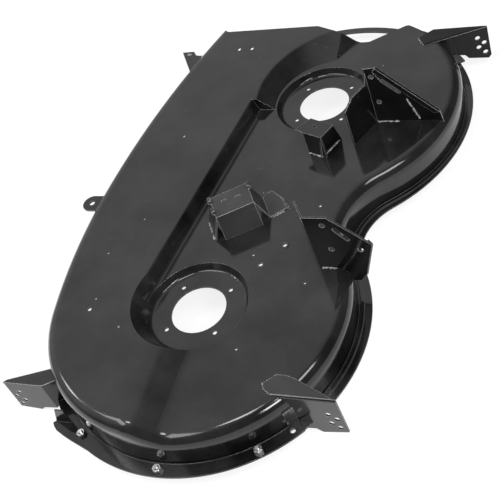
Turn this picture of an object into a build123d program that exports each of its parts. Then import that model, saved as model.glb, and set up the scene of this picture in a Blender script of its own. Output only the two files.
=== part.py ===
from build123d import *
import os
from math import atan2, cos, degrees, radians, sin, sqrt, tan

# Pressed deck of a two-spindle mower with its welded brackets, in millimetres.
# Axes: +X to the discharge side, +Y to the front of the machine, +Z up.
# The origin is the centre of the left spindle opening, on top of its seat.

# Sheet and spindles
sheet = 2.5
spindle_spacing_x = 480.0
spindle_stagger_y = 90.0
spindle_bore_r = 46.0
spindle_bolt_pcd = 119.4
spindle_bolt_r = 3.6
spindle_bolt_count = 4

# Heights above the spindle seats
floor_z = 12.0
plateau_z = 38.0
rim_z = -50.0

# Plan of the pressing
chamber_r = 249.0
waist_r = 125.0
front_start_deg = 100.0
front_middle = (214.0, 260.0)
front_end = (671.0, 171.0)
open_side_margin = 11.0
open_side_x = spindle_spacing_x + chamber_r + open_side_margin
right_wall_end_deg = -47.0
shoulder_r = 20.0

# Rolled flange round the foot of the wall
flange_width = 21.0
right_flange_r = 286.6
right_flange_shift = (3.4, 25.4)
bead_inner = 3.0
bead_width = 6.0
bead_height = 2.5
bead_start_deg = 236.0

# Spindle seats
seat_r = 80.0
seat_slope_top_r = 102.0
right_slope_low_r = 105.0
right_slope_low_shift = (2.0, -15.0)
right_slope_top_r = 167.0
right_slope_top_shift = (7.0, -48.0)

# Step between the floor and the front air channel
step_distance = 98.0
step_angle_deg = -8.0
step_run = 9.0
step_crease_r = 4.0
step_end_x = 455.0
ramp_top_y = 24.0
ramp_foot_y = -28.0
ramp_crease_r = 50.0
crease_r = 6.0

# Discharge end of the sheet
channel_end_x = 662.0
channel_end_low_y = -40.0
notch_depth = 25.0
notch_x = channel_end_x - notch_depth
notch_top_y = -95.0
notch_low_y = -143.0
tongue_tip = (682.0, -210.0)
tongue_foot = (662.0, -240.0)
end_corner_r = 10.0

# Small holes through the sheet: X, Y and radius
plateau_holes = [
    (-39.0, 169.0, 3.5), (-17.0, 167.0, 2.0), (79.0, 184.0, 2.0), (43.0, 227.0, 1.5), (157.0, 145.0, 2.0),
    (361.0, 142.0, 2.5), (429.0, 161.0, 2.5), (-69.0, 103.0, 2.0), (576.0, 57.0, 2.5)]
floor_holes = [
    (106.0, -66.0, 2.0), (-78.0, -94.0, 2.0), (53.0, -169.0, 2.0), (215.0, -153.0, 2.5), (566.0, -185.0, 2.0)]
drawn_holes = [(86.0, -85.0), (128.0, -115.0)]
drawn_hole_r = 4.0
drawn_rim_width = 2.2
drawn_rim_height = 1.6
channel_slots = [(605.0, 108.0), (605.0, 81.0)]
channel_slot_length = 9.0
channel_slot_width = 6.5

# Flat bar across the discharge opening
hoop_gap = 13.0
hoop_width = 14.0
hoop_thickness = 3.0
hoop_rear_deg = -55.0
hoop_front_deg = 28.0

# Strip bolted on the left side of the flange
strip_gap = 3.0
strip_width = 21.0
strip_thickness = 2.5
strip_front_deg = 135.0
strip_rear_deg = 231.5
strip_end_plan = [
    (-6.3, 6.3), (-27.5, 27.8), (-33.8, 23.1), (-39.9, 16.1), (-47.2, 0.9), (-54.2, -16.2), (-68.2, -54.3),
    (-53.8, -59.0)]
strip_lug_x = -23.9
strip_lug_foot = (-4.6, 23.7)
strip_lug_head = (-4.6, 10.8)
strip_lug_top_z = -12.0
strip_bolt_inset = 9.0
strip_bolt_degs = [146.7, 181.5, 216.0]
strip_spare_hole_deg = 228.5
bolt_r = 4.0
bolt_clearance = 0.3
bolt_head_height = 5.3
bolt_tail = 3.0
hex_across_flats = 12.7
nut_height = 6.8

# Wheel brackets
bracket_sheet = 3.0
wheel_hole_r = 4.5
bracket_bend_r = 5.0
fold_reach = 0.2
rear_left_wall_deg = 232.5
rear_left_fold_x = -2.9
rear_left_top = [
    (-2.9, 23.5), (7.8, 39.5), (16.7, 42.7), (32.9, 25.3), (32.9, 11.0), (27.9, -7.0), (2.6, -62.5),
    (-2.9, -68.5)]
rear_left_profile = [
    (20.5, 15.0), (-72.5, 15.0), (-74.5, -66.0), (-33.5, -72.5), (-24.5, -64.5), (-2.5, -66.0), (5.5, -50.0),
    (20.5, -10.0)]
rear_left_holes = [(-52.5, -22.8), (-63.5, -33.1), (-52.5, -45.3), (-63.5, -55.6)]
rear_left_ear_deg = 4.0
rear_left_ear_top = -12.0
rear_left_ear_low = -47.5
rear_right_wall_deg = -50.0
rear_right_fold_start = (-25.6, 27.7)
rear_right_fold_end = (12.9, -66.9)
rear_right_top = [(-25.6, 27.7), (-2.6, 41.7), (18.9, 17.7), (20.5, -77.3), (12.9, -66.9)]
rear_right_profile = [
    (8.0, 15.0), (117.0, 15.0), (117.4, -50.0), (112.0, -56.0), (76.0, -44.0), (70.0, -35.0), (49.0, -27.0),
    (20.0, -27.0)]
rear_right_holes = [(97.0, -5.7), (107.7, -19.2), (97.0, -26.7), (107.7, -40.6)]
front_left_wall_deg = 128.0
front_left_fold_x = -13.7
front_left_top_z = 1.0
front_left_top = [(3.3, -4.2), (-13.7, 24.8), (-13.7, 98.8), (-7.7, 93.8), (22.3, 15.8), (29.3, -6.2)]
front_left_bend_y = 24.8
front_left_facet_end = (3.3, -4.2)
front_left_profile = [
    (97.8, 1.0), (98.8, -67.5), (58.8, -71.6), (50.8, -65.0), (24.8, -62.0), (7.8, -47.5), (-16.2, -40.0),
    (-16.2, 1.0)]
front_left_holes = [(80.2, -25.0), (91.1, -36.5), (80.2, -47.5), (91.1, -59.0)]

# Tabs welded to the front shoulder
tab_top_z = 36.0
round_tab_x = 194.5
round_tab_width = 35.0
round_tab_tip_y = 285.0
round_tab_hole_r = 5.0
slot_tab_plan = [
    (550.0, 165.0), (550.0, 199.0), (607.0, 234.0), (608.0, 209.0), (596.0, 200.0), (594.0, 190.0),
    (594.0, 160.0)]
slot_tab_slot = (600.5, 217.5)
slot_tab_slot_length = 14.0
slot_tab_slot_width = 5.0

# Belt guard bracket, a bridge of folded sheet beside the left spindle
guard_sheet = 2.5
guard_top_z = 60.0
guard_corners = [(142.0, -4.0), (178.0, -60.0), (221.0, -33.0), (185.0, 23.0)]
guard_flare = 17.0
guard_front_lean = 7.0
guard_foot_plan = [(241.5, -50.0), (245.5, -60.5), (228.0, -82.5), (207.5, -96.0)]
guard_slots = [(181.0, -5.0), (191.0, -27.0)]
guard_slot_length = 9.0
guard_slot_width = 3.5
guard_left_curls = [14.0, 41.0]
guard_right_curls = [40.0]
guard_curl_r = 5.0
guard_curl_width = 10.0
guard_curl_turn_deg = 200.0

# Angle bracket beside the right spindle
side_top_z = 60.0
side_top = [(340.0, -101.0), (326.0, -137.0), (357.0, -152.0), (375.0, -107.0), (348.0, -85.0)]
side_foot_start = (328.0, -128.0)
side_foot_length = 53.0
side_hole = (354.0, -119.0)
side_hole_r = 3.5

# Pair of hangers standing at the rear waist
hanger_left_x = 85.0
hanger_left_profile = [
    (-185.0, 126.0), (-224.0, 126.0), (-274.0, 77.0), (-282.0, 69.0), (-259.0, -2.0), (-248.0, -16.0),
    (-233.0, -16.0), (-185.0, -4.0)]
hanger_left_holes = [(-214.0, 110.0), (-216.0, 57.0), (-262.0, 57.0)]
hanger_left_slot = [(-231.0, 101.0), (-246.5, 80.5)]
hanger_left_lip_out = 6.5
hanger_left_lip_back = 8.5
hanger_left_wing_deg = 32.0
hanger_left_wing = [(0.0, 126.0), (9.0, 100.0), (68.0, 100.0), (68.0, 0.0), (0.0, 0.0)]
hanger_right_x = 415.0
hanger_right_profile = [
    (-206.0, 129.0), (-228.0, 131.0), (-320.0, 33.0), (-324.0, 4.0), (-324.0, -8.0), (-206.0, -8.0)]
hanger_right_holes = [(-217.0, 112.0), (-220.0, 57.0)]
hanger_right_slot = [(-234.0, 103.0), (-258.0, 78.0)]
hanger_hole_r = 4.5
hanger_slot_width = 7.0
hanger_right_wing_deg = 26.0
hanger_right_wing = [(0.0, 126.0), (9.0, 100.0), (43.0, 100.0), (66.0, 86.0), (66.0, 0.0), (0.0, 0.0)]
hanger_right_hem = [(-228.0, 131.0), (-320.0, 33.0), (-310.5, 30.5), (-222.0, 124.8)]

left = Vector(0, 0, 0)
right = Vector(spindle_spacing_x, -spindle_stagger_y, 0)


def on_circle(centre, radius, angle_deg, z=0.0):
    """Point on a circle seen from above."""
    a = radians(angle_deg)
    return Vector(centre.X + radius * cos(a), centre.Y + radius * sin(a), z)


def blend_centre(centre_a, radius_a, centre_b, radius_b):
    """Centre of the circle that touches both given circles from the rear side."""
    span = centre_b - centre_a
    distance = span.length
    along = (radius_a**2 - radius_b**2 + distance**2) / (2 * distance)
    across = sqrt(radius_a**2 - along**2)
    unit = span.normalized()
    return centre_a + unit * along + Vector(unit.Y, -unit.X, 0) * across


def bearing(start, end):
    """Direction from one point to another, in degrees."""
    return degrees(atan2(end.Y - start.Y, end.X - start.X))


def plan_outline(left_r, right_centre, right_r, blend_r, front_lift, end_deg):
    """Outline of the pressing seen from above, running out past the open side."""
    waist = blend_centre(left, left_r + blend_r, right_centre, right_r + blend_r)
    left_leave = bearing(left, waist) % 360
    right_join = bearing(right_centre, waist) % 360
    left_arc = CenterArc(left, left_r, front_start_deg, left_leave - front_start_deg)
    waist_turn = (left_leave - 180) - (right_join - 180)
    waist_arc = CenterArc(waist, blend_r, left_leave - 180, -waist_turn)
    right_arc = CenterArc(right_centre, right_r, right_join, end_deg + 360 - right_join)
    start = on_circle(left, left_r, front_start_deg)
    start_angle = front_start_deg - 90
    heading = (cos(radians(start_angle)), sin(radians(start_angle)))
    middle = Vector(front_middle[0], front_middle[1] + front_lift, 0)
    lean = radians(72)
    end = Vector(front_end[0] + front_lift * cos(lean), front_end[1] + front_lift * sin(lean), 0)
    first = TangentArc(start, middle, tangent=heading)
    second = TangentArc(first @ 1, end, tangent=first % 1)
    out = second % 1
    far_front = end + out * ((open_side_x - end.X) / out.X)
    rear_out = right_arc % 1
    rear_end = right_arc @ 1
    far_rear = rear_end + rear_out * ((open_side_x - rear_end.X) / rear_out.X)
    edges = [left_arc, waist_arc, right_arc, Line(rear_end, far_rear), Line(far_rear, far_front)]
    edges += [Line(far_front, end), second, first]
    return make_face(edges)


def wall_plan():
    """Outline of the outside of the wall."""
    return plan_outline(chamber_r, right, chamber_r, waist_r, 0, right_wall_end_deg)


def flange_plan():
    """Outline of the rolled flange round the foot of the wall."""
    centre = right + Vector(*right_flange_shift, 0)
    outer_r = chamber_r + flange_width
    blend_r = waist_r - flange_width
    return plan_outline(outer_r, centre, right_flange_r, blend_r, flange_width, right_wall_end_deg)


def slab(face, low, high):
    """Flat-ended solid between two heights over a plan face."""
    return extrude(Pos(0, 0, low) * face, high - low)


def step_frame():
    """Plane along the step: X runs along its top edge, Y towards the channel."""
    across = Vector(-sin(radians(step_angle_deg)), cos(radians(step_angle_deg)), 0)
    along = (cos(radians(step_angle_deg)), sin(radians(step_angle_deg)), 0)
    return Plane(origin=across * step_distance, x_dir=along, z_dir=(0, 0, 1))


def step_line_y(x, shift):
    """Y of the step's top edge at a given X, moved across the step by shift."""
    a = radians(step_angle_deg)
    return ((step_distance + shift) - x * -sin(a)) / cos(a)


def crease_setback(radius):
    """Distance from the step's top edge to where its rounding of that radius starts."""
    return radius * tan(atan2(plateau_z - floor_z, step_run) / 2)


def wedge_profile(inset):
    """Section of the step with its rounded top edge, X towards the channel."""
    radius = step_crease_r - inset
    top = plateau_z - inset
    low = floor_z - inset
    deep = rim_z - 2 * inset
    setback = crease_setback(radius)
    slope = Vector(-step_run, low - top, 0).normalized()
    flat_end = Vector(setback, top, 0)
    slope_start = Vector(0, top, 0) + slope * setback
    toward = (flat_end + slope_start) * 0.5 - Vector(setback, top - radius, 0)
    crest = Vector(setback, top - radius, 0) + toward.normalized() * radius
    edges = [ThreePointArc(flat_end, crest, slope_start)]
    edges.append(Polyline(slope_start, (-step_run, low), (-step_run, deep), (setback, deep), flat_end))
    return make_face(edges)


def channel_plan(inset):
    """Plan of the raised front channel: ahead of the step and of the left ramp."""
    rounded = inset + crease_setback(step_crease_r - inset)
    y_start = step_line_y(0, rounded)
    y_end = step_line_y(step_end_x + inset, rounded)
    far = open_side_x
    corners = [(-far, ramp_foot_y), (0, ramp_foot_y), (0, y_start), (step_end_x + inset, y_end)]
    corners += [(step_end_x + inset, -spindle_stagger_y), (far, -spindle_stagger_y), (far, far), (-far, far)]
    return make_face(Polyline(*corners, close=True))


def ramp_creases(form, floor_top, channel_top):
    """Straight edges at the top and at the foot of the ramp."""
    found = []
    for edge in form.edges().filter_by(Axis.X):
        middle = edge @ 0.5
        at_top = abs(middle.Y - ramp_top_y) < 0.1 and abs(middle.Z - channel_top) < 0.1
        at_foot = abs(middle.Y - ramp_foot_y) < 0.1 and abs(middle.Z - floor_top) < 0.1
        if middle.X < 0 and (at_top or at_foot):
            found.append(edge)
    return found


def shoulder_edges(form, wall):
    """Edges where the top of the form meets its wall."""
    rim = wall.wires()[0]
    found = []
    for edge in form.edges():
        middle = edge @ 0.5
        above = middle.Z > floor_z - shoulder_r / 2
        inside = middle.X < open_side_x - shoulder_r
        level = abs((edge @ 0).Z - (edge @ 1).Z) < plateau_z - floor_z - sheet
        if above and inside and level and rim.distance_to(Vertex(middle.X, middle.Y, 0)) < 0.2:
            found.append(edge)
    return found


def frustum(centre, low_r, low, high_centre, high_r, high):
    """Tapered round cutter, upright or leaning."""
    bottom = Pos(centre.X, centre.Y, low) * Circle(low_r)
    top = Pos(high_centre.X, high_centre.Y, high) * Circle(high_r)
    return loft(Sketch() + [bottom, top])


def seat_cutter(centre, inset):
    """Tapered recess down to a spindle seat, open above."""
    slope = (seat_slope_top_r - seat_r) / plateau_z
    bottom = -inset
    top = 2 * plateau_z
    grow = inset * sqrt(1 + slope**2)
    return frustum(centre, seat_r + grow + slope * bottom, bottom, centre, seat_r + grow + slope * top, top)


def pressing_creases(form, inset):
    """Edges round the seats, along the foot of the step and round the right slope."""
    found = []
    for edge in form.edges():
        box = edge.bounding_box()
        level = box.max.Z - box.min.Z < 0.05
        seat = level and abs(box.min.Z + inset) < 0.05 and edge.geom_type == GeomType.CIRCLE
        long = edge.geom_type == GeomType.LINE and edge.length > step_end_x - 2 * step_distance
        foot = level and long and abs(box.min.Z - floor_z + inset) < 0.05 and box.max.Y < 1.1 * step_distance
        slope = level and edge.geom_type == GeomType.CIRCLE and abs(box.min.Z - plateau_z + inset) < 0.05
        slope = slope and box.min.X > step_end_x - 1 and box.max.Y < step_distance
        if seat or foot or slope:
            found.append(edge)
    return found


def pressed_form(inset):
    """Solid form of the pressing; the inset one is the space under the sheet."""
    wall = offset(wall_plan(), -inset) if inset else wall_plan()
    floor_top = floor_z - inset
    channel_top = plateau_z - inset
    foot = rim_z - 2 * inset
    form = slab(wall, foot, floor_top)
    channel = slab(wall & channel_plan(inset), foot, channel_top)
    ramp_tool = make_face(Polyline(
        (ramp_foot_y, floor_top), (ramp_top_y, channel_top), (ramp_top_y, 2 * plateau_z),
        (ramp_foot_y - chamber_r, 2 * plateau_z), (ramp_foot_y - chamber_r, floor_top), close=True))
    ramp_tool = extrude(Plane.YZ * ramp_tool, 2 * chamber_r, both=False)
    ramp_tool = Pos(-2 * chamber_r, 0, 0) * ramp_tool
    channel -= ramp_tool
    run_in = seat_slope_top_r / 2
    length = run_in + (step_end_x + inset) / cos(radians(step_angle_deg))
    frame = step_frame()
    start = frame.origin + frame.y_dir * inset - frame.x_dir * run_in
    wedge = extrude(Plane(origin=start, x_dir=frame.y_dir, z_dir=frame.x_dir) * wedge_profile(inset), length)
    form = form + channel + wedge
    form = fillet(ramp_creases(form, floor_top, channel_top), ramp_crease_r)
    form = fillet(shoulder_edges(form, wall), shoulder_r - inset)
    form -= seat_cutter(left, inset)
    form -= seat_cutter(right, inset)
    low = right + Vector(*right_slope_low_shift, 0)
    top = right + Vector(*right_slope_top_shift, 0)
    grow = 0.4 * inset
    form -= frustum(low, right_slope_low_r + grow, floor_top, top, right_slope_top_r + grow, channel_top)
    return fillet(pressing_creases(form, inset), crease_r)


def kept_plan():
    """Plan of what is left after the discharge end is trimmed."""
    far = 2 * open_side_x
    cut = on_circle(right, chamber_r, right_wall_end_deg + 1)
    cut_out = on_circle(right, far, right_wall_end_deg + 1)
    front_x, front_y = front_end
    face = make_face(Polyline(
        (-far, far), (front_x, far), (front_x, front_y - shoulder_r / 2),
        (channel_end_x, front_y - shoulder_r), (channel_end_x, channel_end_low_y),
        (notch_x, notch_top_y), (notch_x, notch_low_y), tongue_tip, tongue_foot,
        (cut.X, cut.Y), (cut_out.X, cut_out.Y), (-far, cut_out.Y), close=True))
    rounded = []
    for corner in face.vertices():
        in_x = notch_x - 1 < corner.X < tongue_tip[0] + 1
        in_y = tongue_tip[1] - 1 < corner.Y < front_y - shoulder_r + 1
        if in_x and in_y:
            rounded.append(corner)
    return fillet(rounded, end_corner_r)


def bead_region():
    """Plan region of the rear flange that carries the bead."""
    far = 2 * open_side_x
    start = on_circle(left, far, bead_start_deg)
    end = on_circle(right, far, right_wall_end_deg + 1)
    return make_face(Polyline(left, start, end, right, close=True))


def post(x, y, radius, low, high):
    """Upright round cutter or rod."""
    return Pos(x, y, low) * Cylinder(radius, high - low, align=(Align.CENTER, Align.CENTER, Align.MIN))


def ring_of_posts(centre, circle_r, radius, count, low, high):
    """Round cutters spread evenly on a circle, the first at half a step."""
    return [post(p.X, p.Y, radius, low, high)
            for p in (on_circle(centre, circle_r, (k + 0.5) * 360 / count) for k in range(count))]


def sector_band(centre, inner_r, outer_r, start_deg, end_deg):
    """Plan of a band between two radii and two angles."""
    inner = CenterArc(centre, inner_r, start_deg, end_deg - start_deg)
    outer = CenterArc(centre, outer_r, start_deg, end_deg - start_deg)
    return make_face([inner, outer, Line(inner @ 0, outer @ 0), Line(inner @ 1, outer @ 1)])


def side_holes(points, radius):
    """Round cutters along X through given Y and Z points."""
    return [Plane.YZ * Pos(y, z, 0) * Cylinder(radius, 2 * open_side_x) for y, z in points]


def side_slot(points, width):
    """Slot cutter along X between two Y and Z points."""
    start = Vector(*points[0])
    end = Vector(*points[1])
    face = Plane.YZ * SlotCenterPoint((start + end) * 0.5, end, width)
    return extrude(face, open_side_x, both=True)


def sheet_path(points, thickness, low, high):
    """Upright sheet that follows a line of plan points, on the left of the line."""
    line = Polyline(*points)
    band = line.offset_2d(thickness, kind=Kind.INTERSECTION, side=Side.LEFT)
    return slab(make_face(band), low, high)


def plate_between(top_a, top_b, low_b, low_a, into):
    """Flat plate with the given outer face corners and its thickness as a vector."""
    face = make_face(Polyline(top_a, top_b, low_b, low_a, close=True))
    return extrude(face, into.length, dir=into)


def inward(start, end, centre, thickness):
    """Level vector across a line, pointing to the side the centre lies on."""
    across = Vector(0, 0, 1).cross((end - start).normalized())
    side = 1 if across.dot(centre - start) > 0 else -1
    return across * (side * thickness)


def fold_edges(body, start, end, reach):
    """Edges of a folded sheet that lie within reach of the line between two points."""
    line = Line(start, end)
    found = []
    for edge in body.edges().filter_by(GeomType.LINE):
        if line.distance_to(Vertex(*(edge @ 0.5))) < reach and abs((edge % 0.5).dot(line % 0.5)) > 0.999:
            found.append(edge)
    return found


def round_fold(body, start, end):
    """Rounds the outside of a fold along the line between two points."""
    return fillet(fold_edges(body, start, end, fold_reach), bracket_bend_r)


outer_form = pressed_form(0)
inner_form = pressed_form(sheet)
kept = slab(kept_plan(), 3 * rim_z, 3 * plateau_z)
flange = slab(flange_plan() - offset(wall_plan(), -sheet), rim_z, rim_z + sheet)
bead_face = (offset(wall_plan(), bead_inner + bead_width) - offset(wall_plan(), bead_inner)) & bead_region()
bead = slab(bead_face, rim_z + sheet, rim_z + sheet + bead_height)
shell = (outer_form - inner_form) + flange + bead
shell = shell & kept

cut_low = rim_z / 2
cut_high = 2 * plateau_z
hole_cutters = [post(x, y, r, cut_low, cut_high) for x, y, r in plateau_holes + floor_holes]
hole_cutters += [post(x, y, drawn_hole_r, cut_low, cut_high) for x, y in drawn_holes]
for spindle in (left, right):
    hole_cutters.append(post(spindle.X, spindle.Y, spindle_bore_r, cut_low, cut_high))
    hole_cutters += ring_of_posts(
        spindle, spindle_bolt_pcd / 2, spindle_bolt_r, spindle_bolt_count, cut_low, cut_high)
for x, y in channel_slots:
    slot = Pos(x, y, cut_low) * SlotOverall(channel_slot_length, channel_slot_width)
    hole_cutters.append(extrude(slot, cut_high - cut_low))
rim_r = drawn_hole_r + drawn_rim_width
drawn_rims = [post(x, y, rim_r, floor_z, floor_z + drawn_rim_height) for x, y in drawn_holes]

# Strip, bolts and nuts on the left of the flange
flange_top_z = rim_z + sheet
strip_top_z = flange_top_z + strip_thickness
strip_inner_r = chamber_r + strip_gap
strip_outer_r = strip_inner_r + strip_width
strip_bolt_circle_r = strip_inner_r + strip_bolt_inset
strip_face = sector_band(left, strip_inner_r, strip_outer_r, strip_front_deg, strip_rear_deg)
end_point = on_circle(left, chamber_r, strip_front_deg)
strip_face += Pos(end_point) * make_face(Polyline(*strip_end_plan, close=True))
strip = slab(strip_face, flange_top_z, strip_top_z)
lug_face = make_face(Polyline(
    (strip_lug_foot[0], flange_top_z), (strip_lug_foot[1], flange_top_z),
    (strip_lug_head[1], strip_lug_top_z), (strip_lug_head[0], strip_lug_top_z), close=True))
strip += Pos(end_point.X + strip_lug_x, end_point.Y, 0) * extrude(Plane.YZ * lug_face, strip_thickness)
bolt_places = [on_circle(left, strip_bolt_circle_r, angle) for angle in strip_bolt_degs]
spare_hole = on_circle(left, strip_bolt_circle_r, strip_spare_hole_deg)
strip_cutters = [
    post(p.X, p.Y, bolt_r + bolt_clearance, 2 * rim_z, strip_top_z + 1) for p in bolt_places + [spare_hole]]
strip = strip - strip_cutters
hex_r = hex_across_flats / 2
nut_top_z = strip_top_z + nut_height
bolts = []
nuts = []
for place in bolt_places:
    hexagon = Pos(place.X, place.Y) * RegularPolygon(hex_r, 6, major_radius=False)
    head = slab(hexagon, rim_z - bolt_head_height, rim_z)
    bolts.append(head + post(place.X, place.Y, bolt_r, rim_z - bolt_head_height, nut_top_z + bolt_tail))
    nut_bore = post(place.X, place.Y, bolt_r, strip_top_z, nut_top_z)
    nuts.append(slab(hexagon, strip_top_z, nut_top_z) - nut_bore)
skirt_bolts = Compound(bolts)
skirt_nuts = Compound(nuts)

shell = shell + drawn_rims
shell = shell - hole_cutters - strip_cutters
shell_body = [outer_form, flange, bead]

# Flat bar across the discharge opening
hoop_inner_r = chamber_r + hoop_gap
hoop_mid_r = hoop_inner_r + hoop_width / 2
hoop_turn = on_circle(right, hoop_mid_r, hoop_front_deg)
hoop_run = Pos(hoop_turn.X, hoop_turn.Y) * Rot(0, 0, hoop_front_deg) * Rectangle(
    hoop_width, chamber_r, align=(Align.CENTER, Align.MIN))
hoop_face = sector_band(right, hoop_inner_r, hoop_inner_r + hoop_width, hoop_rear_deg, hoop_front_deg)
room = offset(wall_plan(), -sheet)
hoop_face += hoop_run & room
hoop = slab(hoop_face, flange_top_z, flange_top_z + hoop_thickness)

# Rear left wheel bracket, placed from its point on the wall
wall_point = on_circle(left, chamber_r, rear_left_wall_deg)
x = wall_point.X + rear_left_fold_x
top_low = floor_z
top_high = floor_z + bracket_sheet
plate = extrude(Plane.YZ * make_face(Polyline(*rear_left_profile, close=True)), bracket_sheet)
plate = Pos(x, wall_point.Y, 0) * (plate - side_holes(rear_left_holes, wheel_hole_r))
cover = Pos(wall_point) * slab(make_face(Polyline(*rear_left_top, close=True)), top_low, top_high)
ear_angle = 360 - degrees(atan2(sqrt(chamber_r**2 - x**2), x + bracket_sheet))
ear = slab(
    sector_band(left, chamber_r, chamber_r + bracket_sheet, ear_angle - rear_left_ear_deg, ear_angle),
    rear_left_ear_low, rear_left_ear_top)
fold_rear = (x, wall_point.Y + rear_left_profile[1][0], top_high)
fold_front = (x, wall_point.Y + rear_left_top[0][1], top_high)
rear_left_bracket = (round_fold(plate + cover, fold_rear, fold_front) + ear) - shell_body

# Rear right wheel bracket
wall_point = on_circle(right, chamber_r, rear_right_wall_deg)
fold_start = wall_point + Vector(*rear_right_fold_start, 0)
fold_end = wall_point + Vector(*rear_right_fold_end, 0)
fold_dir = fold_end - fold_start
fold_plane = Plane(origin=fold_start, x_dir=fold_dir, z_dir=fold_dir.cross(Vector(0, 0, 1)))
plate = extrude(fold_plane * make_face(Polyline(*rear_right_profile, close=True)), -bracket_sheet)
cover = Pos(wall_point) * slab(make_face(Polyline(*rear_right_top, close=True)), top_low, top_high)
cover_up = Vector(0, 0, top_high)
rear_right_bracket = round_fold(plate + cover, fold_start + cover_up, fold_end + cover_up)
rear_right_bracket -= [
    fold_plane * Pos(s, z, 0) * Cylinder(wheel_hole_r, 4 * bracket_sheet) for s, z in rear_right_holes]
rear_right_bracket -= shell_body

# Front left wheel bracket
wall_point = on_circle(left, chamber_r, front_left_wall_deg)
x = front_left_fold_x
face_path = [(x, front_left_profile[1][0]), (x, front_left_bend_y), front_left_facet_end]
plate = sheet_path(face_path, bracket_sheet, 2 * rim_z, front_left_top_z)
outline = extrude(Plane.YZ * make_face(Polyline(*front_left_profile, close=True)), open_side_x, both=True)
cover_face = make_face(Polyline(*front_left_top, close=True))
cover = slab(cover_face, front_left_top_z - bracket_sheet, front_left_top_z)
front_left_bracket = (plate & outline) + cover - side_holes(front_left_holes, wheel_hole_r)
front_left_bracket = Pos(wall_point) * front_left_bracket - shell_body

# Tabs on the front shoulder
tab_low = tab_top_z - bracket_sheet
tip = round_tab_tip_y - round_tab_width / 2
round_face = Pos(round_tab_x, tip) * Circle(round_tab_width / 2)
round_face += Pos(round_tab_x, tip) * Rectangle(
    round_tab_width, round_tab_width, align=(Align.CENTER, Align.MAX))
round_face -= Pos(round_tab_x, tip) * Circle(round_tab_hole_r)
front_hanger_tab = slab(round_face, tab_low, tab_top_z) - shell_body
slot_face = make_face(Polyline(*slot_tab_plan, close=True))
slot_face -= Pos(*slot_tab_slot) * SlotOverall(slot_tab_slot_length, slot_tab_slot_width, rotation=90)
front_slot_tab = slab(slot_face, tab_low, tab_top_z) - shell_body



def curl(place, outward):
    """Narrow tab rolled upwards from an edge of the guard's top."""
    inner_r = guard_curl_r - guard_sheet
    outer = CenterArc((0, inner_r), guard_curl_r, -90, guard_curl_turn_deg)
    inner = CenterArc((0, inner_r), inner_r, -90, guard_curl_turn_deg)
    face = make_face([outer, inner, Line(outer @ 0, inner @ 0), Line(outer @ 1, inner @ 1)])
    edge_dir = outward.cross(Vector(0, 0, 1))
    start = place + Vector(0, 0, guard_top_z) - edge_dir * (guard_curl_width / 2)
    return extrude(Plane(origin=start, x_dir=outward, z_dir=edge_dir) * face, guard_curl_width)


# Belt guard bracket
corner_a, corner_b, corner_c, corner_d = [Vector(*corner, 0) for corner in guard_corners]
up_floor = Vector(0, 0, floor_z)
up_top = Vector(0, 0, guard_top_z)
along = (corner_b - corner_a).normalized()
across = (corner_c - corner_b).normalized()
guard = slab(make_face(Polyline(*guard_corners, close=True)), guard_top_z - guard_sheet, guard_top_z)
front_foot = up_floor - across * guard_front_lean
guard += plate_between(
    corner_a + up_top, corner_b + up_top, corner_b + front_foot, corner_a + front_foot, across * guard_sheet)
right_low_b = corner_b + along * guard_flare + up_floor
right_low_c = corner_c + along * guard_flare + up_floor
guard += plate_between(corner_b + up_top, corner_c + up_top, right_low_c, right_low_b, along * -guard_sheet)
left_low_a = corner_a - along * guard_flare + up_floor
left_low_d = corner_d - along * guard_flare + up_floor
guard += plate_between(corner_d + up_top, corner_a + up_top, left_low_a, left_low_d, along * guard_sheet)
foot_start = along * -guard_sheet
foot_outline = [Vector(*corner, floor_z) for corner in guard_foot_plan]
foot = make_face(Polyline(right_low_b + foot_start, right_low_c + foot_start, *foot_outline, close=True))
guard += extrude(foot, guard_sheet, dir=(0, 0, 1))
guard += [curl(corner_a + across * place, -along) for place in guard_left_curls]
guard += [curl(corner_b + across * place, along) for place in guard_right_curls]
slot_turn = bearing(corner_a, corner_b)
slot_face = SlotOverall(guard_slot_length, guard_slot_width, rotation=slot_turn)
slot_low = floor_z + guard_sheet
guard_cutters = [extrude(Pos(*place, slot_low) * slot_face, guard_top_z) for place in guard_slots]
belt_guard_bracket = guard - guard_cutters - shell_body

# Angle bracket beside the right spindle
side_points = [Vector(*corner, 0) for corner in side_top]
side_dir = (side_points[2] - side_points[1]).normalized()
side_low_start = Vector(*side_foot_start, floor_z)
up_side = Vector(0, 0, side_top_z)
cover = slab(make_face(Polyline(*side_top, close=True)), side_top_z - bracket_sheet, side_top_z)
cover -= post(*side_hole, side_hole_r, floor_z, side_top_z + 1)
side_centre = Vector(*side_hole, 0)
spindle_side_bracket = cover + plate_between(
    side_points[0] + up_side, side_points[1] + up_side, side_points[1] + up_floor, side_points[0] + up_floor,
    inward(side_points[0], side_points[1], side_centre, bracket_sheet))
spindle_side_bracket += plate_between(
    side_points[1] + up_side, side_points[2] + up_side, side_low_start + side_dir * side_foot_length,
    side_low_start, inward(side_points[1], side_points[2], side_centre, bracket_sheet))
spindle_side_bracket -= shell_body


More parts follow.
